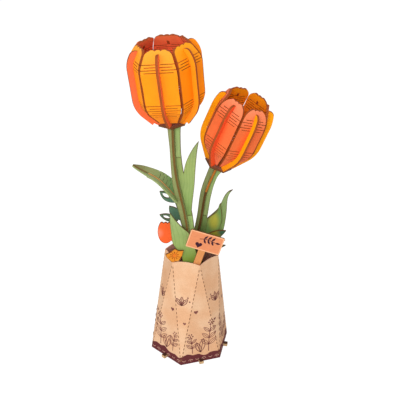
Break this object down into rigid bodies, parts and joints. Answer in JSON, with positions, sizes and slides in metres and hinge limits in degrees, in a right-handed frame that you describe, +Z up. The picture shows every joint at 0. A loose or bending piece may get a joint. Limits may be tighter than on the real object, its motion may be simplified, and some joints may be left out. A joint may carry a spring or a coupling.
{
  "type": "wooden tulip ornament",
  "caption": "Wooden tulips with leaves and sprigs, built from slotted plywood plates, standing in a folded hexagonal vase.",
  "frame": {"origin": "middle of the vase's foot, on the surface that it stands on", "axes": "+Z up; the flat faces of the stems look along -Y, which is the pictured side"},
  "size_m": [0.1267, 0.0913, 0.3194],
  "materials": {
    "vase_card": "matte kraft with a fold line at every edge",
    "foot_wood": "painted plywood with dark laser-cut edges",
    "bare_wood": "painted plywood with dark laser-cut edges",
    "spine_brown": "painted plywood with dark laser-cut edges",
    "spine_tan": "painted plywood with dark laser-cut edges",
    "stem_green": "painted plywood with dark laser-cut edges",
    "leaf_green": "painted plywood with dark laser-cut edges",
    "leaf_olive": "painted plywood with dark laser-cut edges",
    "sprig_green": "painted plywood with dark laser-cut edges",
    "calyx_brown": "painted plywood with dark laser-cut edges",
    "bud_coral": "painted plywood with dark laser-cut edges",
    "blossom_orange": "painted plywood with dark laser-cut edges",
    "plaque_peach": "painted plywood with dark laser-cut edges",
    "stake_tan": "painted plywood with dark laser-cut edges",
    "left_petal_orange": "painted plywood with dark laser-cut edges",
    "left_rib_coral": "painted plywood with dark laser-cut edges",
    "right_petal_salmon": "painted plywood with dark laser-cut edges",
    "right_rib_yellow": "painted plywood with dark laser-cut edges"
  },
  "bodies": {
    "vase": {"vase_shell": "vase_card", "base_plate": "foot_wood", "holder_plate": "bare_wood", "holder_leg_1": "bare_wood", "holder_leg_2": "bare_wood", "holder_leg_3": "bare_wood", "holder_leg_4": "bare_wood", "front_leaf": "leaf_green", "slotted_sprig": "sprig_green", "dark_sprig": "sprig_green", "yellow_leaf": "leaf_olive", "coral_bud": "bud_coral", "rim_blossom": "blossom_orange", "blossom_stalk": "bare_wood"},
    "left_tulip": {"left_stem_spine": "spine_brown", "left_stem_wing": "stem_green", "left_stem_upper_wing": "stem_green", "left_stem_lower_wing": "stem_green", "centre_leaf": "leaf_green", "left_leaf_blade": "leaf_green", "left_collar_plate": "calyx_brown", "left_calyx_plate": "calyx_brown", "left_petal_1": "left_petal_orange", "left_petal_2": "left_petal_orange", "left_petal_3": "left_petal_orange", "left_petal_4": "left_petal_orange", "left_petal_5": "left_petal_orange", "left_petal_6": "left_petal_orange", "left_rib_1": "left_rib_coral", "left_rib_2": "left_rib_coral", "left_rib_3": "left_rib_coral", "left_rib_4": "left_rib_coral", "left_rib_5": "left_rib_coral", "left_rib_6": "left_rib_coral"},
    "right_tulip": {"right_stem_lower_spine": "spine_brown", "right_stem_upper_spine": "spine_tan", "right_stem_wing": "stem_green", "right_stem_upper_wing": "stem_green", "right_stem_lower_wing": "stem_green", "right_leaf": "leaf_green", "right_leaf_inner": "leaf_olive", "right_collar_plate": "calyx_brown", "right_calyx_plate": "calyx_brown", "right_petal_1": "right_petal_salmon", "right_petal_2": "right_petal_salmon", "right_petal_3": "right_petal_salmon", "right_petal_4": "right_petal_salmon", "right_petal_5": "right_petal_salmon", "right_petal_6": "right_petal_salmon", "right_rib_1": "right_rib_yellow", "right_rib_2": "right_rib_yellow", "right_rib_3": "right_rib_yellow", "right_rib_4": "right_rib_yellow", "right_rib_5": "right_rib_yellow", "right_rib_6": "right_rib_yellow"},
    "sign": {"sign_plaque": "plaque_peach", "sign_stake": "stake_tan"}
  },
  "joints": [
    {"name": "left_tulip_lift", "type": "slide", "parent": "vase", "child": "left_tulip", "axis": [0, 0, 1], "range_m": [0, 0.075]},
    {"name": "right_tulip_lift", "type": "slide", "parent": "vase", "child": "right_tulip", "axis": [0, 0, 1], "range_m": [0, 0.075]},
    {"name": "sign_lift", "type": "slide", "parent": "vase", "child": "sign", "axis": [0.2924, 0, 0.9563], "range_m": [0, 0.06]}
  ]
}
